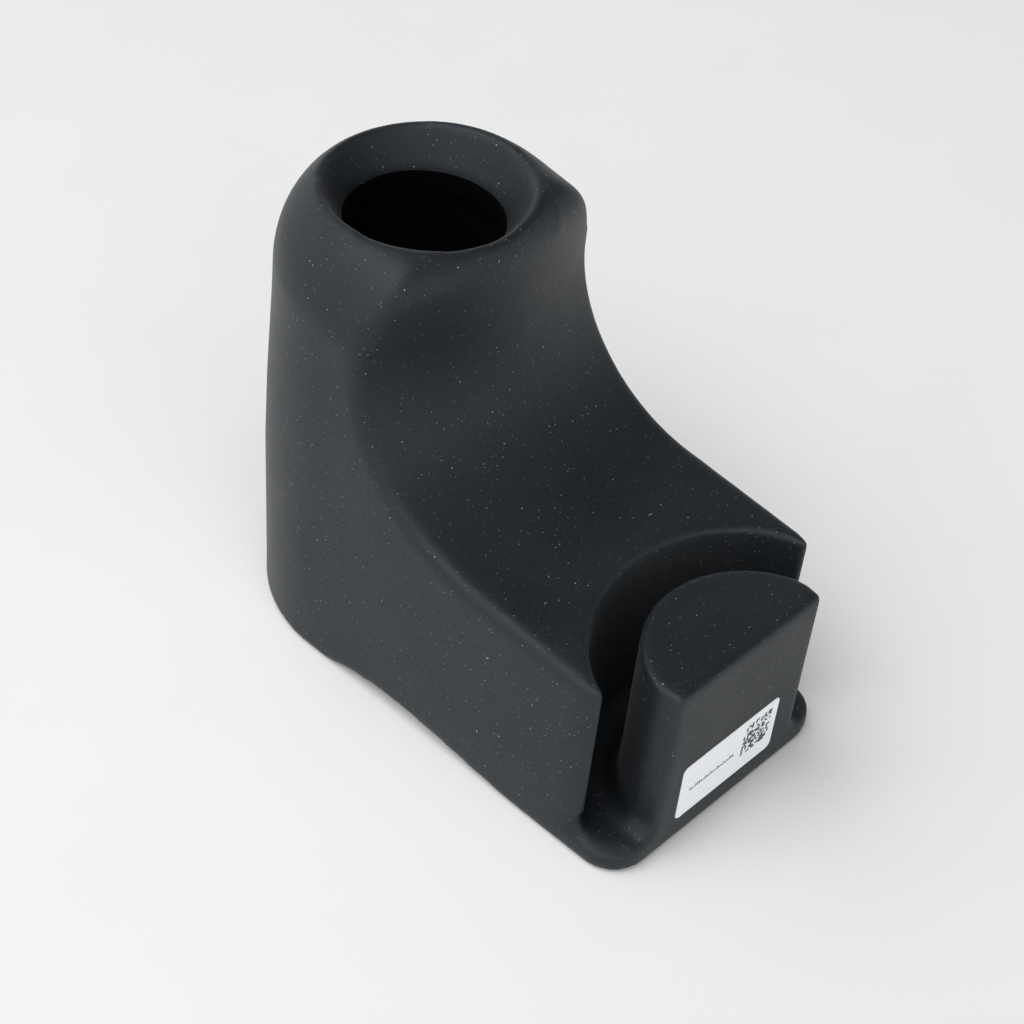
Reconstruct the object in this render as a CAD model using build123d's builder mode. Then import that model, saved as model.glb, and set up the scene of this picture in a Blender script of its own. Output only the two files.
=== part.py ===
"""Rubber snoot: a lamp goes up into the tower from below and shines out of its cupped mouth.

The foot carries an upright D-shaped clip block, and the curved slot round that block
takes the rim of a lamp head or reflector.

Origin: on the resting plane, under the middle of the part's length and width.
Axes: +Z up, +Y from the clip block back to the tower, +X across.
All sizes are in millimetres. A setback is a distance behind the clip block's front face.
"""
from build123d import *
import math
import os

# ---- overall sizes ------------------------------------------------------------------
body_length = 155.5
body_width = 84.0             # across the two flat flanks
crown_height = 134.6          # of the sloping crown at the back, before it is rounded
crown_slope = 5.5             # degrees, the crown falls towards the clip block
crown_radius = 26.0           # rounding of the crown over the flanks and the back
back_overhang = 2.0           # the back leans out by this much above the sole
back_lean_height = 50.0       # it leans up to this height and stands upright above

# ---- mouth, light chamber and liner -------------------------------------------------
bore_inset = 36.0             # from the back to the axis of the tower's bore
cup_radius = 27.6             # crest of the cupped mouth
cup_drop = 4.2                # the crest lies this far below the crown's height
cup_depth = 12.4              # from the crest down to the aperture
aperture_radius = 20.3        # narrow opening that trims the beam
aperture_length = 7.0
liner_bore_radius = 23.0      # the lamp barrel slides into this
liner_wall = 1.6
liner_fit = 0.0               # the rubber grips the liner line to line
sole_opening_clearance = 0.6  # the sole's opening is this much wider than the liner's bore

# ---- saddle and deck ----------------------------------------------------------------
tower_front = 29.5            # from the bore's axis forward to the tower's upright front
tower_bow_radius = 93.0       # the tower's front bows forward on this radius
saddle_radius = 43.0          # concave sweep from the deck up to the tower
saddle_centre_height = 103.2
deck_slope = 4.8              # degrees, falling towards the clip block
ridge_radius = 3.2            # where the saddle meets the flanks and the crown

# ---- clip block ---------------------------------------------------------------------
block_height = 57.0
block_centre_setback = -2.0   # centre of its rounded back
block_cheek_step = 2.0        # the front is narrower than the back by this much at each side
block_cheek_depth = 6.5       # the cheeks widen over this depth behind the front face
block_cheek_radius = 10.0     # rounding between cheek and back
block_front_radius = 1.2
block_root_radius = 5.0
block_top_radius = 0.8

# ---- slot and ears ------------------------------------------------------------------
slot_gap = 11.0               # between the clip block and the slot's outer wall
ear_wall = 1.5                # rubber left between the slot's legs and the flanks
slot_end_radius = 31.0        # the outer wall's end stretches
slot_flattening = 6.5         # its middle stretch has a radius larger than its half width
ear_setback = 4.6             # the ears' tips, before they are rounded
ear_flank_radius = 18.0       # the flanks curve in towards the tips
ear_tip_radius = 0.7

# ---- foot ---------------------------------------------------------------------------
sole_thickness = 6.9
sole_corner_radius = 10.5
sole_edge_radius = 1.1
arch_rise = 3.9               # the underside is relieved between toe and heel
arch_front_setback = 30.0
arch_peak_offset = 39.5       # its highest line, forward of the bore's axis
arch_back_offset = 15.5       # its end, forward of the bore's axis
arch_front_pitch = 0.03       # it leaves the toe almost level
arch_back_pitch = -0.45       # and comes down steeply to the heel

# ---- stiff core inside the clip block -----------------------------------------------
core_wall = 6.0               # rubber left round the core
core_cover = 11.0             # rubber left over it
core_recess = 1.0             # the core ends this far above the resting plane

# ---- label --------------------------------------------------------------------------
label_width = 38.0
label_height = 19.0
label_thickness = 0.15
label_corner_radius = 1.8
label_offset = -1.3           # its middle, sideways from the middle of the front face
label_centre_height = 17.8

# ---- places worked out from the sizes -----------------------------------------------
half_width = body_width / 2
front_y = -body_length / 2
back_y = body_length / 2
heel_y = back_y - back_overhang
bore_y = back_y - bore_inset
cup_crest_z = crown_height - cup_drop
aperture_top_z = cup_crest_z - cup_depth
shoulder_z = aperture_top_z - aperture_length
chamber_radius = liner_bore_radius + liner_wall + liner_fit
sole_opening_radius = liner_bore_radius + sole_opening_clearance
tower_front_y = bore_y - tower_front
saddle_centre_y = tower_front_y - saddle_radius
slot_half_width = half_width - ear_wall
block_radius = slot_half_width - slot_gap
block_centre_y = front_y + block_centre_setback
slot_back_y = block_centre_y + block_radius + slot_gap
ear_y = front_y + ear_setback
core_height = block_height - core_cover

margin = 20.0                 # how far cutting tools run past the body
contact = 0.01                # an edge nearer than this lies on a surface

os.makedirs("parts", exist_ok=True)


def footprint(corner_y, rear_y):
    """Return a plan with flat flanks and a half-round back, square at the front.

    It runs from corner_y at the front to rear_y at the back.
    """
    centre_y = rear_y - half_width
    with BuildSketch(Plane.XY) as section:
        with BuildLine():
            Line((half_width, centre_y), (half_width, corner_y))
            Line((half_width, corner_y), (-half_width, corner_y))
            Line((-half_width, corner_y), (-half_width, centre_y))
            RadiusArc((-half_width, centre_y), (half_width, centre_y), half_width)
        make_face()
    return section.sketch


def block_section(inset):
    """Return the clip block's D-shaped plan, drawn in all round by an inset."""
    half_front = block_radius - block_cheek_step
    cheek_y = front_y + block_cheek_depth
    reach = math.sqrt(block_radius**2 - (cheek_y - block_centre_y) ** 2)
    with BuildSketch(Plane.XY) as section:
        with BuildLine():
            Line((-half_front, front_y), (half_front, front_y))
            Line((half_front, front_y), (reach, cheek_y))
            ThreePointArc((reach, cheek_y), (0, block_centre_y + block_radius), (-reach, cheek_y))
            Line((-reach, cheek_y), (-half_front, front_y))
        make_face()
        cheek_corners = vertices().sort_by(Axis.Y)[2:4]
        fillet(cheek_corners, block_cheek_radius)
        if inset > 0:
            offset(amount=-inset)
    return section.sketch


# The saddle is a ring-shaped cutter: a deck line and an arc, swung about an upright axis
# behind the tower so that the tower's front bows forward.
deck_pitch = math.radians(deck_slope)
deck_end = (
    saddle_centre_y + saddle_radius * math.sin(deck_pitch),
    saddle_centre_height - saddle_radius * math.cos(deck_pitch),
)
deck_start_y = front_y - margin
deck_start = (deck_start_y, deck_end[1] - (deck_end[0] - deck_start_y) * math.tan(deck_pitch))
sweep_end = (tower_front_y, saddle_centre_height)
cutter_top_z = crown_height + margin
bow_axis = Axis((0, tower_front_y + tower_bow_radius, 0), (0, 0, 1))
swing = 60.0                  # degrees to each side, well past the flanks

with BuildPart() as saddle_cutter:
    with BuildSketch(Plane.YZ) as saddle_outline:
        with BuildLine():
            Line(deck_start, deck_end)
            RadiusArc(deck_end, sweep_end, -saddle_radius)
            Line(sweep_end, (tower_front_y, cutter_top_z))
            Line((tower_front_y, cutter_top_z), (deck_start_y, cutter_top_z))
            Line((deck_start_y, cutter_top_z), deck_start)
        make_face()
    revolve(axis=bow_axis, revolution_arc=swing)
    revolve(saddle_outline.sketch, axis=bow_axis, revolution_arc=-swing)

# ---- upper body: tower, saddle deck and the two ears beside the slot ----------------
crown_pitch = math.radians(crown_slope)
crown_normal = (0, -math.sin(crown_pitch), math.cos(crown_pitch))
crown_plane = Plane((0, back_y - crown_radius, crown_height), z_dir=crown_normal)

# The slot's outer wall is three arcs that run smoothly into each other.
slot_radius = slot_half_width + slot_flattening
slot_centre_y = slot_back_y - slot_radius
join_angle = math.asin((slot_half_width - slot_end_radius) / (slot_radius - slot_end_radius))
join_x = slot_radius * math.sin(join_angle)
join_y = slot_centre_y + slot_radius * math.cos(join_angle)
leg_y = join_y - slot_end_radius * math.cos(join_angle)
slot_mouth_y = front_y - margin

with BuildPart() as upper_body:
    with BuildSketch(Plane.XY.offset(back_lean_height)):
        add(footprint(front_y, back_y))
    extrude(amount=crown_height + margin - back_lean_height)
    split(bisect_by=crown_plane, keep=Keep.BOTTOM)
    crown = upper_body.faces().sort_by(Axis.Z)[-1]
    crown_front = crown.edges().sort_by(Axis.Y)[0]
    fillet(crown.edges() - ShapeList([crown_front]), crown_radius)

    # Below the upright walls the back leans in to the heel.
    with BuildSketch(Plane.XY.offset(sole_thickness)):
        add(footprint(front_y, heel_y))
    with BuildSketch(Plane.XY.offset(back_lean_height)):
        add(footprint(front_y, back_y))
    loft(ruled=True)

    # The saddle leaves one ridge that runs up each flank and over the crown.
    add(saddle_cutter.part, mode=Mode.SUBTRACT)
    ridge = (
        upper_body.edges()
        .filter_by(lambda edge: saddle_cutter.part.distance_to(edge @ 0.5) < contact)
        .filter_by(lambda edge: edge.center().Y > ear_y)
    )
    fillet(ridge, ridge_radius)

    # Everything is trimmed in plan to the ears' outline and to the slot's outer wall.
    with BuildSketch(Plane.XY.offset(sole_thickness)):
        add(footprint(ear_y, back_y))
        front_corners = vertices().sort_by(Axis.Y)[:2]
        fillet(front_corners, ear_flank_radius)
        with BuildLine():
            Line((slot_half_width, slot_mouth_y), (slot_half_width, leg_y))
            RadiusArc((slot_half_width, leg_y), (join_x, join_y), -slot_end_radius)
            RadiusArc((join_x, join_y), (-join_x, join_y), -slot_radius)
            RadiusArc((-join_x, join_y), (-slot_half_width, leg_y), -slot_end_radius)
            Line((-slot_half_width, leg_y), (-slot_half_width, slot_mouth_y))
            Line((-slot_half_width, slot_mouth_y), (slot_half_width, slot_mouth_y))
        make_face(mode=Mode.SUBTRACT)
        ear_tips = vertices().sort_by(Axis.Y)[:2]
        fillet(ear_tips, ear_tip_radius)
    extrude(amount=crown_height, mode=Mode.INTERSECT)

    # Cup, aperture and light chamber, turned in one cut about the bore's axis.
    cup_spread = (cup_radius - aperture_radius) / cup_depth
    cup_top_z = crown_height + margin
    cup_top_radius = cup_radius + cup_spread * (cup_top_z - cup_crest_z)
    with BuildSketch(Plane.YZ):
        with BuildLine():
            Polyline(
                (bore_y, sole_thickness),
                (bore_y + chamber_radius, sole_thickness),
                (bore_y + chamber_radius, shoulder_z),
                (bore_y + aperture_radius, shoulder_z),
                (bore_y + aperture_radius, aperture_top_z),
                (bore_y + cup_top_radius, cup_top_z),
                (bore_y, cup_top_z),
                close=True,
            )
        make_face()
    revolve(axis=Axis((0, bore_y, 0), (0, 0, 1)), mode=Mode.SUBTRACT)
upper_body.part.label = "upper_body"
export_step(upper_body.part, "parts/upper_body.step")

# ---- sole and clip block, moulded in one --------------------------------------------
arch_front_y = front_y + arch_front_setback
arch_peak_y = bore_y - arch_peak_offset
arch_back_y = bore_y - arch_back_offset
core_section = block_section(core_wall)

with BuildPart() as sole_block:
    with BuildSketch(Plane.XY):
        add(footprint(front_y, heel_y))
    extrude(amount=sole_thickness)
    toe_corners = sole_block.edges().filter_by(Axis.Z).sort_by(Axis.Y)[:2]
    fillet(toe_corners, sole_corner_radius)

    # Upright clip block, flush with the toe, with a soft root where it rises from the
    # slot's floor.
    with BuildSketch(Plane.XY.offset(sole_thickness)):
        add(block_section(0))
    extrude(amount=block_height - sole_thickness)
    root_edges = (
        sole_block.edges()
        .filter_by_position(Axis.Z, sole_thickness - contact, sole_thickness + contact)
        .filter_by_position(Axis.Y, front_y + contact, slot_back_y)
        .filter_by_position(Axis.X, -block_radius, block_radius)
    )
    fillet(root_edges, block_root_radius)
    front_edges = (
        sole_block.edges()
        .filter_by(Axis.Z)
        .filter_by_position(Axis.Z, sole_thickness, block_height)
        .group_by(Axis.Y)[0]
    )
    fillet(front_edges, block_front_radius)
    block_top = sole_block.faces().sort_by(Axis.Z)[-1]
    fillet(block_top.edges(), block_top_radius)
    underside = sole_block.faces().sort_by(Axis.Z)[0]
    fillet(underside.edges(), sole_edge_radius)

    # Relief under the waist, rising slowly from the toe and falling quickly to the heel.
    with BuildSketch(Plane.YZ.offset(-body_width)):
        with BuildLine():
            Spline(
                (arch_front_y, 0),
                (arch_peak_y, arch_rise),
                (arch_back_y, 0),
                tangents=((1, arch_front_pitch), (1, arch_back_pitch)),
            )
            Line((arch_back_y, 0), (arch_back_y, -margin))
            Line((arch_back_y, -margin), (arch_front_y, -margin))
            Line((arch_front_y, -margin), (arch_front_y, 0))
        make_face()
    extrude(amount=2 * body_width, mode=Mode.SUBTRACT)

    # Opening for the lamp barrel.
    with BuildSketch(Plane.XY):
        with Locations((0, bore_y)):
            Circle(sole_opening_radius)
    extrude(amount=sole_thickness, mode=Mode.SUBTRACT)

    # Pocket for the stiff core.
    add(core_section)
    extrude(amount=core_height, mode=Mode.SUBTRACT)
sole_block.part.label = "sole_block"
export_step(sole_block.part, "parts/sole_block.step")

# ---- stiff core, pressed up into the clip block -------------------------------------
with BuildPart() as block_core:
    with BuildSketch(Plane.XY.offset(core_recess)):
        add(core_section)
    extrude(amount=core_height - core_recess)
block_core.part.label = "block_core"
export_step(block_core.part, "parts/block_core.step")

# ---- liner, trapped between the sole and the aperture's shoulder --------------------
with BuildPart() as bore_liner:
    with BuildSketch(Plane.XY.offset(sole_thickness)):
        with Locations((0, bore_y)):
            Circle(liner_bore_radius + liner_wall)
            Circle(liner_bore_radius, mode=Mode.SUBTRACT)
    extrude(amount=shoulder_z - sole_thickness)
bore_liner.part.label = "bore_liner"
export_step(bore_liner.part, "parts/bore_liner.step")

# ---- label on the clip block's front face -------------------------------------------
with BuildPart() as label:
    with BuildSketch(Plane.XZ.offset(-front_y)):
        with Locations((label_offset, label_centre_height)):
            RectangleRounded(label_width, label_height, label_corner_radius)
    extrude(amount=label_thickness)
label.part.label = "label"
export_step(label.part, "parts/label.step")
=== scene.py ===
"""Looks of the rubber snoot: soft moulded rubber skins, the dark liner and the printed label.

Everything is in metres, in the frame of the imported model: +Z up, +Y from the clip block
back to the tower, +X across, the origin on the resting plane.
"""

import logging
import math
import random
from dataclasses import dataclass
from enum import Enum
from typing import Callable

import bmesh
import bpy
from mathutils import Matrix, Vector


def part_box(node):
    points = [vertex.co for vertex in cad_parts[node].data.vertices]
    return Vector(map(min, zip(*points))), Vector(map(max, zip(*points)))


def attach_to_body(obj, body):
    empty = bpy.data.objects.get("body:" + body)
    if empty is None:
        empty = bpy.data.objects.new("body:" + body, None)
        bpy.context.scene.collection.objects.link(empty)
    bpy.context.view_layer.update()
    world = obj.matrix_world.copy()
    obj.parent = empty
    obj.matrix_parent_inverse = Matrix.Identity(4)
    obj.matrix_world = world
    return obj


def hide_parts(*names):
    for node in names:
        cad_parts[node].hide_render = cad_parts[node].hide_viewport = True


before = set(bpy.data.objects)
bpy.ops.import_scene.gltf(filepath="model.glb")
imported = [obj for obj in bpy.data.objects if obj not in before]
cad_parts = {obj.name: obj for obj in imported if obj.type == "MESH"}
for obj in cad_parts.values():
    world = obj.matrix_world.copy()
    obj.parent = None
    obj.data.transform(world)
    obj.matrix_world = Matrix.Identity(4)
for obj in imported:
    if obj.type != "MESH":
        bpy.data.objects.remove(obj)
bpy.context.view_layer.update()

MM = 0.001
BODY = "root"
log = logging.getLogger("snoot")


class Half(Enum):
    """The two rubber mouldings that are bonded along the foot."""

    UPPER = "upper_body"
    SOLE = "sole_block"


class Print(Enum):
    """The two kinds of printed mark on the label."""

    MODULES = "label_modules"
    DASHES = "label_dashes"


# ---- material helpers ---------------------------------------------------------------
@dataclass
class Graph:
    """A material's node tree, with short calls that add and join nodes."""

    name: str

    def __post_init__(self) -> None:
        """Start an empty tree with its output, its shader and the object coordinates."""
        self.material = bpy.data.materials.new(self.name)
        self.material.use_nodes = True
        self.tree = self.material.node_tree
        self.tree.nodes.clear()
        self.output = self.add("ShaderNodeOutputMaterial")
        self.shader = self.add("ShaderNodeBsdfPrincipled")
        self.join(self.shader.outputs["BSDF"], self.output.inputs["Surface"])
        self.place = self.add("ShaderNodeTexCoord").outputs["Object"]

    def add(self, kind: str, **settings: object) -> bpy.types.Node:
        """Add a node.

        Args:
            kind: the node's type name.
            settings: properties of the node to set.

        Returns:
            The new node.
        """
        node = self.tree.nodes.new(kind)
        for key, value in settings.items():
            setattr(node, key, value)
        return node

    def join(self, start: bpy.types.NodeSocket, end: bpy.types.NodeSocket) -> None:
        """Link an output socket to an input socket."""
        self.tree.links.new(start, end)

    def feed(self, socket: bpy.types.NodeSocket, value: object) -> None:
        """Give a socket a constant, or link it when the value is itself a socket."""
        if isinstance(value, bpy.types.NodeSocket):
            self.join(value, socket)
        else:
            socket.default_value = value

    def math(self, operation: str, first: object, second: object = 0.0) -> bpy.types.NodeSocket:
        """Combine two numbers.

        Args:
            operation: the Math node's operation.
            first: a socket or a number.
            second: a socket or a number.

        Returns:
            The socket with the result.
        """
        node = self.add("ShaderNodeMath", operation=operation)
        self.feed(node.inputs[0], first)
        self.feed(node.inputs[1], second)
        return node.outputs[0]

    def step(self, value: bpy.types.NodeSocket, low: float, high: float,
             start: float = 0.0, end: float = 1.0) -> bpy.types.NodeSocket:
        """Map a value smoothly from one range to another.

        Args:
            value: the socket to map.
            low: the value that gives start.
            high: the value that gives end.
            start: result at low and beyond.
            end: result at high and beyond.

        Returns:
            The socket with the mapped value.
        """
        node = self.add("ShaderNodeMapRange", interpolation_type="SMOOTHSTEP")
        self.join(value, node.inputs["Value"])
        node.inputs["From Min"].default_value = low
        node.inputs["From Max"].default_value = high
        node.inputs["To Min"].default_value = start
        node.inputs["To Max"].default_value = end
        return node.outputs["Result"]

    def noise(self, scale: float, detail: float = 2.0, vector: object = None) -> bpy.types.NodeSocket:
        """Add a noise pattern.

        Args:
            scale: patches per metre.
            detail: octaves of finer noise.
            vector: where to read it; the object coordinates if left out.

        Returns:
            The noise value's socket.
        """
        node = self.add("ShaderNodeTexNoise")
        node.inputs["Scale"].default_value = scale
        node.inputs["Detail"].default_value = detail
        self.join(vector or self.place, node.inputs["Vector"])
        return node.outputs["Fac"]

    def mix(self, amount: object, first: object, second: object) -> bpy.types.NodeSocket:
        """Mix two colours.

        Args:
            amount: share of the second colour, a socket or a number.
            first: a colour or a socket.
            second: a colour or a socket.

        Returns:
            The mixed colour's socket.
        """
        node = self.add("ShaderNodeMix", data_type="RGBA")
        self.feed(node.inputs[0], amount)
        self.feed(node.inputs[6], first)
        self.feed(node.inputs[7], second)
        return node.outputs[2]

    def bump(self, height: bpy.types.NodeSocket, depth: float, strength: float = 1.0) -> None:
        """Send a height pattern to the shader's normal.

        Args:
            height: the pattern's socket.
            depth: metres between the pattern's 0 and 1.
            strength: the bump node's strength.
        """
        node = self.add("ShaderNodeBump")
        node.inputs["Strength"].default_value = strength
        node.inputs["Distance"].default_value = depth
        self.join(height, node.inputs["Height"])
        self.join(node.outputs["Normal"], self.shader.inputs["Normal"])


@dataclass(frozen=True)
class RubberFinish:
    """Charcoal silicone rubber with a dry bloom, dust specks, short lint and lighter outward edges,
    partly rub wear and partly a painted highlight.
    """

    name: str
    base: tuple[float, float, float, float] = (0.0052, 0.0066, 0.0088, 1.0)
    bloom: tuple[float, float, float, float] = (0.0105, 0.0128, 0.0160, 1.0)
    # colour of the outward edges: partly rub wear, partly a painted highlight
    rub_and_highlight: tuple[float, float, float, float] = (0.040, 0.043, 0.047, 1.0)
    dust: tuple[float, float, float, float] = (0.62, 0.63, 0.62, 1.0)
    roughness: float = 0.52
    grain: float = 5200.0        # grains per metre
    edge_grain: float = 2600.0    # breaks per metre in the lighter edges, partly rub wear and partly painted highlight
    cloud: float = 34.0          # bloom patches per metre
    specks: float = 700.0        # cells per metre, one possible speck in each
    mote_ratio: float = 1.7      # motes are this many times finer than specks
    lint_a: float = 900.0        # cells per metre of the fibres that lie along X
    lint_b: float = 850.0        # and of those that stand along Z
    bump_depth: float = 0.06 * MM

    def specks_mask(self, g: Graph, scale: float, size: float, share: float,
                    stretch: tuple[float, float, float], turn: tuple[float, float, float]
                    ) -> bpy.types.NodeSocket:
        """Scatter small marks: dots, or short fibres where the pattern is stretched.

        Args:
            g: the material's graph.
            scale: cells per metre.
            size: radius of a mark as a share of its cell.
            share: share of the cells that hold a mark.
            stretch: scale of the pattern along its own axes.
            turn: rotation of the pattern in radians.

        Returns:
            A mask that is 1 on a mark.
        """
        wobble = g.add("ShaderNodeTexNoise")
        wobble.inputs["Scale"].default_value = scale * 0.9
        g.join(g.place, wobble.inputs["Vector"])
        bend = g.add("ShaderNodeVectorMath", operation="MULTIPLY_ADD")
        g.join(wobble.outputs["Color"], bend.inputs[0])
        bend.inputs[1].default_value = (0.9 / scale,) * 3
        g.join(g.place, bend.inputs[2])
        mapping = g.add("ShaderNodeMapping")
        mapping.inputs["Rotation"].default_value = turn
        mapping.inputs["Scale"].default_value = stretch
        g.join(bend.outputs[0], mapping.inputs["Vector"])
        cells = g.add("ShaderNodeTexVoronoi", feature="F1")
        cells.inputs["Scale"].default_value = scale
        g.join(mapping.outputs["Vector"], cells.inputs["Vector"])
        near = g.step(cells.outputs["Distance"], size, size * 0.45)
        pick = g.add("ShaderNodeSeparateColor")
        g.join(cells.outputs["Color"], pick.inputs["Color"])
        chosen = g.math("LESS_THAN", pick.outputs[0], share)
        bright = g.step(pick.outputs[1], 0.0, 1.0, 0.15, 1.0)
        return g.math("MULTIPLY", g.math("MULTIPLY", near, chosen), bright)

    def material(self) -> bpy.types.Material:
        """Return the rubber as a material."""
        g = Graph(self.name)
        cloud = g.noise(self.cloud, 3.0)
        patch = g.step(cloud, 0.35, 0.68)
        fine = g.noise(self.grain, 2.0)
        edge = g.add("ShaderNodeAttribute", attribute_name=EDGE_LAYER).outputs["Fac"]
        # outward edges are made lighter: partly rub wear, partly a painted highlight
        broken = g.step(g.noise(self.edge_grain, 3.0), 0.35, 0.7, 0.35, 1.0)
        rubbed_and_highlit = g.math("MULTIPLY", g.step(edge, 0.10, 0.75), broken)
        tint = g.mix(g.math("MULTIPLY", patch, 0.35), self.base, self.bloom)
        tint = g.mix(g.math("MULTIPLY", g.step(fine, 0.30, 0.75), 0.35), tint, self.bloom)
        tint = g.mix(g.math("MULTIPLY", rubbed_and_highlit, 0.40), tint, self.rub_and_highlight)

        dots = self.specks_mask(g, self.specks, 0.105, 0.65, (1.0, 1.0, 1.0), (0.3, 0.7, 0.2))
        motes = self.specks_mask(g, self.specks * self.mote_ratio, 0.11, 0.50,
                                 (1.0, 1.0, 1.0), (1.1, 0.2, 0.5))
        lint_a = self.specks_mask(g, self.lint_a, 0.085, 0.16, (0.11, 1.0, 1.0), (0.4, 0.9, 0.3))
        lint_b = self.specks_mask(g, self.lint_b, 0.085, 0.16, (1.0, 1.0, 0.12), (0.8, -0.5, 1.2))
        marks = g.math("MAXIMUM", g.math("MAXIMUM", dots, g.math("MULTIPLY", motes, 0.75)),
                       g.math("MULTIPLY", g.math("MAXIMUM", lint_a, lint_b), 0.8))
        tint = g.mix(g.math("MULTIPLY", marks, 0.9), tint, self.dust)

        g.join(tint, g.shader.inputs["Base Color"])
        rough = g.step(cloud, 0.2, 0.8, self.roughness - 0.05, self.roughness + 0.06)
        g.join(rough, g.shader.inputs["Roughness"])
        g.shader.inputs["IOR"].default_value = 1.46
        g.shader.inputs["Specular Tint"].default_value = (0.84, 0.93, 1.0, 1.0)
        g.shader.inputs["Sheen Weight"].default_value = 0.05
        g.shader.inputs["Sheen Roughness"].default_value = 0.35
        height = g.math("ADD", g.math("MULTIPLY", fine, 0.6), g.math("MULTIPLY", marks, 0.9))
        g.bump(height, self.bump_depth, 0.8)
        return g.material


@dataclass(frozen=True)
class PaintedShadeFinish:
    """Painted shade: a dead black colour on the aperture's wall, below the cup, where the bore lies in
    shadow.
    """

    name: str = "aperture_painted_shade"
    base: tuple[float, float, float, float] = (0.0008, 0.0008, 0.0009, 1.0)
    worn: tuple[float, float, float, float] = (0.0022, 0.0022, 0.0024, 1.0)

    def material(self) -> bpy.types.Material:
        """Return the painted shade as a material."""
        g = Graph(self.name)
        haze = g.noise(400.0, 3.0)
        g.join(g.mix(haze, self.base, self.worn), g.shader.inputs["Base Color"])
        g.join(g.step(haze, 0.2, 0.8, 0.88, 0.98), g.shader.inputs["Roughness"])
        g.shader.inputs["Specular IOR Level"].default_value = 0.03
        g.bump(haze, 0.00005, 0.5)
        return g.material


@dataclass(frozen=True)
class LinerFinish:
    """Dull black moulded tube with faint turned rings."""

    name: str = "liner_black"
    base: tuple[float, float, float, float] = (0.0012, 0.0012, 0.0013, 1.0)
    worn: tuple[float, float, float, float] = (0.0030, 0.0030, 0.0032, 1.0)

    def material(self) -> bpy.types.Material:
        """Return the liner's plastic as a material."""
        g = Graph(self.name)
        rings = g.add("ShaderNodeTexWave", wave_type="BANDS", bands_direction="Z")
        rings.inputs["Scale"].default_value = 260.0
        rings.inputs["Distortion"].default_value = 0.4
        g.join(g.place, rings.inputs["Vector"])
        haze = g.noise(300.0, 3.0)
        g.join(g.mix(haze, self.base, self.worn), g.shader.inputs["Base Color"])
        g.join(g.step(haze, 0.2, 0.8, 0.78, 0.92), g.shader.inputs["Roughness"])
        g.shader.inputs["Specular IOR Level"].default_value = 0.05
        g.bump(g.math("ADD", g.math("MULTIPLY", rings.outputs["Fac"], 0.5), haze), 0.00005, 0.5)
        return g.material


@dataclass(frozen=True)
class NylonFinish:
    """Plain dark nylon of the clip block's core, with a fine spark-eroded grain."""

    name: str = "core_plastic"
    base: tuple[float, float, float, float] = (0.060, 0.061, 0.063, 1.0)
    pale: tuple[float, float, float, float] = (0.085, 0.086, 0.088, 1.0)

    def material(self) -> bpy.types.Material:
        """Return the core's plastic as a material."""
        g = Graph(self.name)
        flow = g.noise(60.0, 4.0)
        grain = g.noise(3800.0, 2.0)
        g.join(g.mix(flow, self.base, self.pale), g.shader.inputs["Base Color"])
        g.join(g.step(grain, 0.3, 0.7, 0.42, 0.58), g.shader.inputs["Roughness"])
        g.bump(grain, 0.00005, 0.7)
        return g.material


@dataclass(frozen=True)
class FilmFinish:
    """White label film with a satin face and a faint mottle."""

    name: str = "label_film"
    base: tuple[float, float, float, float] = (0.93, 0.94, 0.96, 1.0)
    shade: tuple[float, float, float, float] = (0.90, 0.91, 0.93, 1.0)

    def material(self) -> bpy.types.Material:
        """Return the film as a material."""
        g = Graph(self.name)
        mottle = g.noise(700.0, 3.0)
        g.join(g.mix(g.step(mottle, 0.4, 0.8), self.base, self.shade), g.shader.inputs["Base Color"])
        g.join(g.step(mottle, 0.2, 0.8, 0.36, 0.46), g.shader.inputs["Roughness"])
        g.bump(mottle, 0.00002, 0.4)
        return g.material


@dataclass(frozen=True)
class InkFinish:
    """Thermal print: a soft black that lets some of the film show."""

    name: str = "label_ink"
    base: tuple[float, float, float, float] = (0.045, 0.047, 0.050, 1.0)
    thin: tuple[float, float, float, float] = (0.16, 0.16, 0.17, 1.0)

    def material(self) -> bpy.types.Material:
        """Return the ink as a material."""
        g = Graph(self.name)
        mottle = g.noise(2600.0, 3.0)
        g.join(g.mix(g.step(mottle, 0.45, 0.75), self.base, self.thin), g.shader.inputs["Base Color"])
        g.join(g.step(mottle, 0.2, 0.8, 0.45, 0.6), g.shader.inputs["Roughness"])
        g.bump(mottle, 0.00001, 0.3)
        return g.material


@dataclass(frozen=True)
class PaperFinish:
    """Pale backdrop paper."""

    name: str = "backdrop_paper"
    base: tuple[float, float, float, float] = (0.93, 0.922, 0.905, 1.0)
    shade: tuple[float, float, float, float] = (0.92, 0.912, 0.895, 1.0)

    def material(self) -> bpy.types.Material:
        """Return the paper as a material."""
        g = Graph(self.name)
        cloud = g.noise(18.0, 4.0)
        g.join(g.mix(g.step(cloud, 0.4, 0.7), self.base, self.shade), g.shader.inputs["Base Color"])
        g.shader.inputs["Roughness"].default_value = 0.95
        g.shader.inputs["Specular IOR Level"].default_value = 0.1
        g.bump(cloud, 0.0002, 0.2)
        return g.material


# ---- mesh helpers -------------------------------------------------------------------
# per-vertex share of outward edge, which the rubber lightens as wear and as a painted highlight
EDGE_LAYER = "edge_wear_and_highlight"


def object_from(bm: bmesh.types.BMesh, name: str, finish: bpy.types.Material) -> bpy.types.Object:
    """Turn a bmesh into an object at the origin.

    Args:
        bm: the mesh, which is freed.
        name: the object's name.
        finish: its material.

    Returns:
        The new object, linked to the scene.
    """
    mesh = bpy.data.meshes.new(name)
    bm.to_mesh(mesh)
    bm.free()
    mesh.materials.append(finish)
    piece = bpy.data.objects.new(name, mesh)
    bpy.context.scene.collection.objects.link(piece)
    return piece


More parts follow.
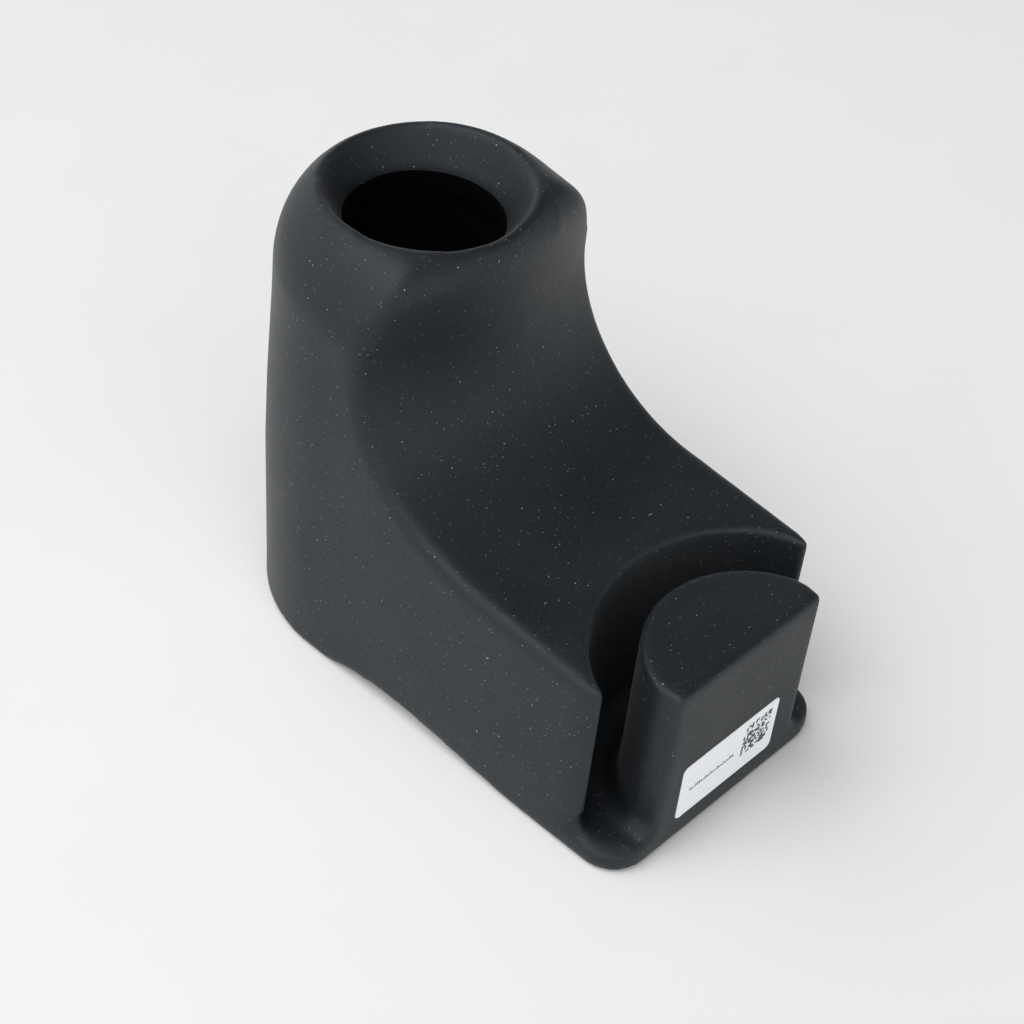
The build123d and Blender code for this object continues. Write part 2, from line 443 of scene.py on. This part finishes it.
def attach(piece: bpy.types.Object) -> None:
    """Make a piece ride on the part and log how many faces it has."""
    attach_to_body(piece, BODY)
    log.info("%s: %d faces", piece.name, len(piece.data.polygons))


def ramp(value: float, low: float, high: float) -> float:
    """Return a smooth share from 0 at low to 1 at high."""
    share = min(max((value - low) / (high - low), 0.0), 1.0)
    return share * share * (3.0 - 2.0 * share)


# ---- rubber -------------------------------------------------------------------------
@dataclass
class RubberMoulding:
    """The upper and the sole, softened as one moulding and parted at the sole's top."""

    voxel: float = 0.9 * MM
    overlap: float = 1.2 * MM         # the upper reaches this far into the sole while they blend
    seam_rise: float = 0.45 * MM      # the parting line above the slot's floor
    roll_radius: float = 10.0 * MM    # the tower's front rolls over to the mouth
    roll_drop: float = 1.0 * MM       # the roll's top below the sole part's crown
    waist_rise: tuple[float, float] = (66 * MM, 104 * MM)    # where the draw-in grows
    waist_fade: tuple[float, float] = (112 * MM, 129 * MM)   # and where it fades
    crest_z: float = 121 * MM         # the mouth's far crest starts here
    near_crest_z: float = 118 * MM    # and its near crest here
    shoulder_z: float = 108 * MM      # the tower's front shoulders start here
    block_reach: float = 35 * MM      # the clip block and its root lie within this
    block_axis: float = 2 * MM        # its round back's axis, ahead of the foot's edge
    block_root_z: float = 12 * MM     # its root fillet ends below this
    corner_drop: float = 1.8 * MM     # the crown's front corners sit lower
    bow_radius: float = 93.0 * MM     # plan radius of the tower's front
    front_gap: float = 29.5 * MM      # from the bore's axis to the tower's front
    bore_gap: float = 36.0 * MM       # from the back to the bore's axis
    aperture_radius: float = 20.3 * MM
    aperture_drop: float = 13.47 * MM  # the aperture's top below the crown
    back_waist: float = 0.6 * MM      # the tower's back draws in by this much near the top

    def __post_init__(self) -> None:
        """Work out the places that the shaping uses."""
        self.sole_low, self.sole_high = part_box(Half.SOLE.value)
        self.low, self.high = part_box(Half.UPPER.value)
        self.floor_z = self.low.z
        self.bore_y = self.high.y - self.bore_gap
        self.front_y = self.bore_y - self.front_gap
        self.aperture_z = self.high.z - self.aperture_drop

    def merged(self) -> bpy.types.Object:
        """Join merged copies of the two CAD nodes into one overlapping mesh object."""
        bm = bmesh.new()
        bm.from_mesh(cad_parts[Half.UPPER.value].data)
        bmesh.ops.remove_doubles(bm, verts=bm.verts, dist=1e-6)
        base = [v for v in bm.verts if v.co.z < self.floor_z + 0.01 * MM]
        bmesh.ops.translate(bm, verts=base, vec=(0, 0, -self.overlap))
        upper = bpy.data.meshes.new("upper_copy")
        bm.to_mesh(upper)
        bm.clear()
        bm.from_mesh(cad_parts[Half.SOLE.value].data)
        bmesh.ops.remove_doubles(bm, verts=bm.verts, dist=1e-6)
        bm.from_mesh(upper)
        bpy.data.meshes.remove(upper)
        return object_from(bm, "moulding", None)

    def remesh(self, piece: bpy.types.Object) -> bmesh.types.BMesh:
        """Voxel remesh an object and remove it.

        Args:
            piece: the object, which is deleted.

        Returns:
            The even mesh as a bmesh.
        """
        grid = piece.modifiers.new("voxels", "REMESH")
        grid.mode = "VOXEL"
        grid.voxel_size = self.voxel
        graph = bpy.context.evaluated_depsgraph_get()
        mesh = bpy.data.meshes.new_from_object(piece.evaluated_get(graph))
        bm = bmesh.new()
        bm.from_mesh(mesh)
        bpy.data.objects.remove(piece)
        bpy.data.meshes.remove(mesh)
        return bm

    def roll_front(self, bm: bmesh.types.BMesh) -> None:
        """Lower the tower's front top to a rolled profile that follows its bow."""
        top = self.high.z - self.roll_drop
        axis_y = self.front_y + self.bow_radius
        for v in bm.verts:
            if v.co.z > top - self.roll_radius:
                depth = self.bow_radius - math.hypot(v.co.x, v.co.y - axis_y)
                reach = min(max(self.roll_radius - depth, 0.0), self.roll_radius)
                roll = top - self.roll_radius + math.sqrt(self.roll_radius**2 - reach**2)
                if reach > 0.0:
                    v.co.z = min(v.co.z, roll)
            ahead = ramp(self.bore_y + 24 * MM - v.co.y, 0.0, 50 * MM)
            corner = ramp(abs(v.co.x), 2 * MM, 36 * MM) * ahead
            v.co.z -= self.corner_drop * corner * ramp(v.co.z, 104 * MM, 124 * MM)

    def draw_in_back(self, bm: bmesh.types.BMesh) -> None:
        """Draw the tower's back and flanks in a little below the crown."""
        for v in bm.verts:
            share = ramp(v.co.z, *self.waist_rise) * (1.0 - ramp(v.co.z, *self.waist_fade))
            out = Vector((v.co.x, v.co.y - self.bore_y, 0.0))
            outer = ramp(out.length, 30 * MM, 33 * MM) * ramp(v.co.y, 20 * MM, 45 * MM)
            if share * outer > 0.0:
                v.co -= out.normalized() * (self.back_waist * share * outer)

    def smooth(self, bm: bmesh.types.BMesh, passes: int, where: Callable[[Vector], bool]) -> None:
        """Smooth the vertices of one region.

        Args:
            bm: the mesh.
            passes: how many times to smooth.
            where: tells whether a place belongs to the region.
        """
        chosen = [v for v in bm.verts if where(v.co)]
        for _ in range(passes):
            bmesh.ops.smooth_vert(bm, verts=chosen, factor=0.5,
                                  use_axis_x=True, use_axis_y=True, use_axis_z=True)

    def radius(self, place: Vector) -> float:
        """Return a place's distance from the bore's axis."""
        return math.hypot(place.x, place.y - self.bore_y)

    def in_bore(self, place: Vector) -> bool:
        """Tell whether a place is on the wall below the cup, which is painted dead black as shade."""
        return self.radius(place) < self.aperture_radius + 4.6 * MM and place.z < self.aperture_z

    def near_block(self, place: Vector) -> bool:
        """Tell whether a place is on the clip block or its root, inside the slot."""
        ahead = place.y - self.sole_low.y + self.block_axis
        return math.hypot(place.x, ahead) < self.block_reach

    def soften(self, bm: bmesh.types.BMesh) -> None:
        """Round the moulding's edges as they are on the rubber."""
        self.smooth(bm, 3, lambda p: True)
        self.smooth(bm, 4, lambda p: self.near_block(p) and p.z > self.block_root_z)
        self.smooth(bm, 3, lambda p: not (self.near_block(p) and p.z > self.block_root_z))
        self.smooth(bm, 26, lambda p: self.floor_z - 1.0 * MM < p.z < self.floor_z + 7.0 * MM
                    and p.y < self.sole_low.y + 45 * MM and not self.near_block(p))
        self.smooth(bm, 1, lambda p: p.z > self.crest_z and p.y > self.bore_y - 8 * MM)
        self.smooth(bm, 18, lambda p: p.z > self.near_crest_z and p.y <= self.bore_y - 4 * MM
                    and 22 * MM < self.radius(p) < 33 * MM)
        self.smooth(bm, 22, lambda p: p.z > self.shoulder_z and p.y < self.front_y + 20 * MM
                    and abs(p.x) > 22 * MM and self.radius(p) > 29 * MM)
        self.smooth(bm, 10, lambda p: abs(p.z - self.aperture_z) < 3 * MM
                    and self.radius(p) < 26 * MM)

    def mark_edges(self, bm: bmesh.types.BMesh) -> None:
        """Store how strongly each vertex lies on an outward edge, for the lighter edges of the finish:
        partly rub wear, partly a painted highlight.
        """
        layer = bm.verts.layers.float.new(EDGE_LAYER)
        bm.normal_update()
        sharp = {}
        for v in bm.verts:
            rise = [(e.other_vert(v).co - v.co).normalized().dot(v.normal) for e in v.link_edges]
            sharp[v.index] = max(-sum(rise) / max(len(rise), 1), 0.0)
        for _ in range(3):
            sharp = {v.index: 0.5 * sharp[v.index] + 0.5 * sum(
                sharp[e.other_vert(v).index] for e in v.link_edges) / max(len(v.link_edges), 1)
                for v in bm.verts}
        for v in bm.verts:
            v[layer] = min(sharp[v.index] / 0.22, 1.0)

    def halves(self, bm: bmesh.types.BMesh) -> dict[Half, bmesh.types.BMesh]:
        """Part the moulding along the foot and close both halves.

        Args:
            bm: the whole moulding, which is freed.

        Returns:
            The two closed halves.
        """
        height = self.floor_z + self.seam_rise
        geom = bm.verts[:] + bm.edges[:] + bm.faces[:]
        bmesh.ops.bisect_plane(bm, geom=geom, dist=1e-7, plane_co=(0, 0, height), plane_no=(0, 0, 1))
        whole = bpy.data.meshes.new("whole")
        bm.to_mesh(whole)
        bm.free()
        parts = {}
        for half in Half:
            part = bmesh.new()
            part.from_mesh(whole)
            drop = []
            for f in part.faces:
                centre = f.calc_center_median()
                above = centre.z > height and not self.near_block(centre)
                if above != (half is Half.UPPER):
                    drop.append(f)
            bmesh.ops.delete(part, geom=drop, context="FACES")
            rim = [e for e in part.edges if e.is_boundary]
            cap = bmesh.ops.triangle_fill(part, edges=rim, use_beauty=True, use_dissolve=False)
            for e in rim:
                e.smooth = False
            facing = Vector((0, 0, -1 if half is Half.UPPER else 1))
            for f in [g for g in cap["geom"] if isinstance(g, bmesh.types.BMFace)]:
                f.normal_update()
                if f.normal.dot(facing) < 0:
                    f.normal_flip()
            for f in part.faces:
                f.smooth = True
            parts[half] = part
        bpy.data.meshes.remove(whole)
        return parts

    def ring_cut(self, bm: bmesh.types.BMesh) -> None:
        """Cut a clean circle round the bore where the cup ends and the painted shade starts."""
        near = []
        for f in bm.faces:
            centre = f.calc_center_median()
            level = abs(centre.z - self.aperture_z) < 4 * MM
            if level and self.radius(centre) < self.aperture_radius + 5 * MM:
                near.append(f)
        verts = {v for f in near for v in f.verts}
        edges = {e for f in near for e in f.edges}
        bmesh.ops.bisect_plane(bm, geom=[*verts, *edges, *near], dist=1e-7,
                               plane_co=(0, 0, self.aperture_z), plane_no=(0, 0, 1))

    def build(self) -> dict[Half, bmesh.types.BMesh]:
        """Shape the moulding and return its two halves."""
        bm = self.remesh(self.merged())
        self.roll_front(bm)
        self.draw_in_back(bm)
        bm = self.remesh(object_from(bm, "moulding", None))
        self.soften(bm)
        self.ring_cut(bm)
        self.mark_edges(bm)
        return self.halves(bm)

    def dress(self, parts: dict[Half, bmesh.types.BMesh]) -> None:
        """Give the halves their rubber and let them stand for the CAD nodes."""
        slots = {Half.UPPER: "upper_rubber", Half.SOLE: "sole_rubber"}
        painted_shade = PaintedShadeFinish().material()
        for half, bm in parts.items():
            # faces on the wall below the cup take the second material, a painted shade
            for f in bm.faces:
                f.material_index = int(self.in_bore(f.calc_center_median()))
            piece = object_from(bm, f"{half.value}_skin", RubberFinish(slots[half]).material())
            piece.data.materials.append(painted_shade)
            attach(piece)
            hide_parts(half.value)


# ---- stiff pieces that keep their CAD shape ------------------------------------------
@dataclass
class StiffPieces:
    """The liner in the tower and the core in the clip block."""

    liner: str = "bore_liner"
    core: str = "block_core"

    def dress(self) -> None:
        """Give both CAD nodes their plastics."""
        for node, finish in ((self.liner, LinerFinish()), (self.core, NylonFinish())):
            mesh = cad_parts[node].data
            mesh.materials.clear()
            mesh.materials.append(finish.material())
            log.info("%s: CAD node with a new finish", node)


# ---- label --------------------------------------------------------------------------
@dataclass
class PrintedLabel:
    """A rounded white label with a block of random modules and a line of dashes."""

    film: float = 0.12 * MM
    ink: float = 0.02 * MM
    corner: float = 1.8 * MM
    corner_steps: int = 8
    module: float = 0.72 * MM
    modules: int = 15
    code_margin: float = 2.6 * MM     # from the label's right end and top
    dash_height: float = 1.2 * MM
    dash_start: float = 4.0 * MM      # from the label's left end
    dash_count: int = 24
    seed: int = 11

    def __post_init__(self) -> None:
        """Read the label's place from its CAD node."""
        self.low, self.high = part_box("label")
        self.back_y = self.high.y
        self.face_y = self.back_y - self.film

    def sheet(self) -> bmesh.types.BMesh:
        """Return the film: a rectangle with rounded corners, thickened and eased."""
        bm = bmesh.new()
        centre = (self.low + self.high) / 2
        size = self.high - self.low
        bmesh.ops.create_grid(bm, x_segments=1, y_segments=1, size=0.5)
        bmesh.ops.scale(bm, verts=bm.verts, vec=(size.x, size.z, 1.0))
        bmesh.ops.bevel(bm, geom=bm.verts[:], offset=self.corner, offset_type="OFFSET",
                        affect="VERTICES", segments=self.corner_steps, profile=0.5, material=-1)
        bmesh.ops.rotate(bm, verts=bm.verts, matrix=Matrix.Rotation(math.pi / 2, 3, "X"))
        bmesh.ops.translate(bm, verts=bm.verts, vec=(centre.x, self.back_y, centre.z))
        out = bmesh.ops.extrude_face_region(bm, geom=bm.faces[:])
        moved = [g for g in out["geom"] if isinstance(g, bmesh.types.BMVert)]
        bmesh.ops.translate(bm, verts=moved, vec=(0, -self.film, 0))
        bmesh.ops.recalc_face_normals(bm, faces=bm.faces)
        return bm

    def mark(self, bm: bmesh.types.BMesh, x: float, z: float, width: float, height: float) -> None:
        """Add one raised block of ink.

        Args:
            bm: the mesh that takes the mark.
            x: its left side.
            z: its lower side.
            width: its size across.
            height: its size upwards.
        """
        verts = bmesh.ops.create_cube(bm, size=1.0)["verts"]
        bmesh.ops.scale(bm, verts=verts, vec=(width, self.ink, height))
        bmesh.ops.translate(bm, verts=verts,
                            vec=(x + width / 2, self.face_y - self.ink / 2, z + height / 2))

    def modules_mesh(self, rng: random.Random) -> bmesh.types.BMesh:
        """Return a square of random modules at the label's right end."""
        bm = bmesh.new()
        side = self.module * self.modules
        left = self.high.x - self.code_margin - side
        low = self.high.z - self.code_margin - side
        for row in range(self.modules):
            run = 0
            for column in range(self.modules + 1):
                if column < self.modules and rng.random() < 0.52:
                    run += 1
                elif run:
                    start = left + (column - run) * self.module
                    self.mark(bm, start, low + row * self.module, run * self.module, self.module * 0.98)
                    run = 0
        return bm

    def dashes_mesh(self, rng: random.Random) -> bmesh.types.BMesh:
        """Return a line of plain dashes, standing in for a printed line."""
        bm = bmesh.new()
        x = self.low.x + self.dash_start
        z = (self.low.z + self.high.z) / 2 - self.dash_height
        for _ in range(self.dash_count):
            width = rng.choice((0.25, 0.4, 0.6)) * MM
            tall = self.dash_height * rng.choice((0.6, 1.0))
            self.mark(bm, x, z, width, tall)
            x += width + rng.choice((0.25, 0.35)) * MM
        return bm

    def build(self) -> dict[Print, bmesh.types.BMesh]:
        """Build the printed marks; the film is built by sheet()."""
        rng = random.Random(self.seed)
        return {Print.MODULES: self.modules_mesh(rng), Print.DASHES: self.dashes_mesh(rng)}

    def dress(self, marks: dict[Print, bmesh.types.BMesh]) -> None:
        """Finish the film and the ink and let the film stand for the CAD label."""
        film = object_from(self.sheet(), "label_sheet", FilmFinish().material())
        attach(film)
        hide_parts("label")
        ink = InkFinish().material()
        for kind, bm in marks.items():
            attach(object_from(bm, kind.value, ink))


# ---- studio -------------------------------------------------------------------------
@dataclass
class Studio:
    """Pale floor, soft light and the camera."""

    camera_place: tuple[float, float, float] = (-0.366868, -0.291970, 0.475534)
    camera_right: tuple[float, float, float] = (0.68526, -0.72276, 0.08958)
    camera_up: tuple[float, float, float] = (0.44615, 0.51382, 0.73276)
    lens: float = 85.68
    sensor: float = 36.0
    floor_size: float = 4.0
    sky: float = 1.33
    dim_side: tuple[float, float, float] = (0.50, -0.05, 0.80)   # the room is darker this way
    dim_from: float = 0.24
    dim_to: float = 0.92
    dim_share: float = 0.06
    key_energy: float = 4.0
    key_place: tuple[float, float, float] = (-0.30, 0.10, 0.95)

    def camera(self) -> None:
        """Place the camera, looking down over the clip block's left corner."""
        data = bpy.data.cameras.new("camera")
        data.sensor_width = self.sensor
        data.lens = self.lens
        data.clip_start = 0.01
        right, up = Vector(self.camera_right), Vector(self.camera_up)
        turn = Matrix((right, up, right.cross(up))).transposed().to_4x4()
        camera = bpy.data.objects.new("camera", data)
        camera.matrix_world = Matrix.Translation(self.camera_place) @ turn
        bpy.context.scene.collection.objects.link(camera)
        bpy.context.scene.camera = camera

    def floor(self) -> None:
        """Lay the pale paper that the part stands on."""
        bm = bmesh.new()
        bmesh.ops.create_grid(bm, x_segments=1, y_segments=1, size=self.floor_size / 2)
        object_from(bm, "backdrop", PaperFinish().material())

    def light(self) -> None:
        """Fill the room with soft light, dimmer on one side, and add one soft key."""
        world = bpy.data.worlds.new("studio")
        bpy.context.scene.world = world
        world.use_nodes = True
        tree = world.node_tree
        back = tree.nodes["Background"]
        spot = tree.nodes.new("ShaderNodeTexCoord")
        dot = tree.nodes.new("ShaderNodeVectorMath")
        dot.operation = "DOT_PRODUCT"
        tree.links.new(spot.outputs["Generated"], dot.inputs[0])
        dot.inputs[1].default_value = Vector(self.dim_side).normalized()
        lobe = tree.nodes.new("ShaderNodeMapRange")
        lobe.interpolation_type = "SMOOTHSTEP"
        tree.links.new(dot.outputs["Value"], lobe.inputs["Value"])
        lobe.inputs["From Min"].default_value = self.dim_from
        lobe.inputs["From Max"].default_value = self.dim_to
        lobe.inputs["To Min"].default_value = self.sky
        lobe.inputs["To Max"].default_value = self.sky * self.dim_share
        tree.links.new(lobe.outputs["Result"], back.inputs["Strength"])
        back.inputs["Color"].default_value = (0.965, 0.985, 1.0, 1.0)
        self.key()

    def key(self) -> None:
        """Hang one large soft light high on the part's left side."""
        data = bpy.data.lights.new("key", "AREA")
        data.energy = self.key_energy
        data.size = 0.7
        lamp = bpy.data.objects.new("key", data)
        place = Vector(self.key_place)
        lamp.location = place
        lamp.rotation_euler = (-place).to_track_quat("-Z", "Y").to_euler()
        bpy.context.scene.collection.objects.link(lamp)

    def build(self) -> None:
        """Set up the camera, the floor and the lights."""
        bpy.context.scene.view_settings.view_transform = "Standard"
        self.camera()
        self.floor()
        self.light()


def main() -> None:
    """Build every sub-assembly in order and report each piece."""
    logging.basicConfig(level=logging.INFO, format="%(name)s: %(message)s")
    Studio().build()
    moulding = RubberMoulding()
    moulding.dress(moulding.build())
    StiffPieces().dress()
    label = PrintedLabel()
    label.dress(label.build())


if __name__ == "__main__":
    main()
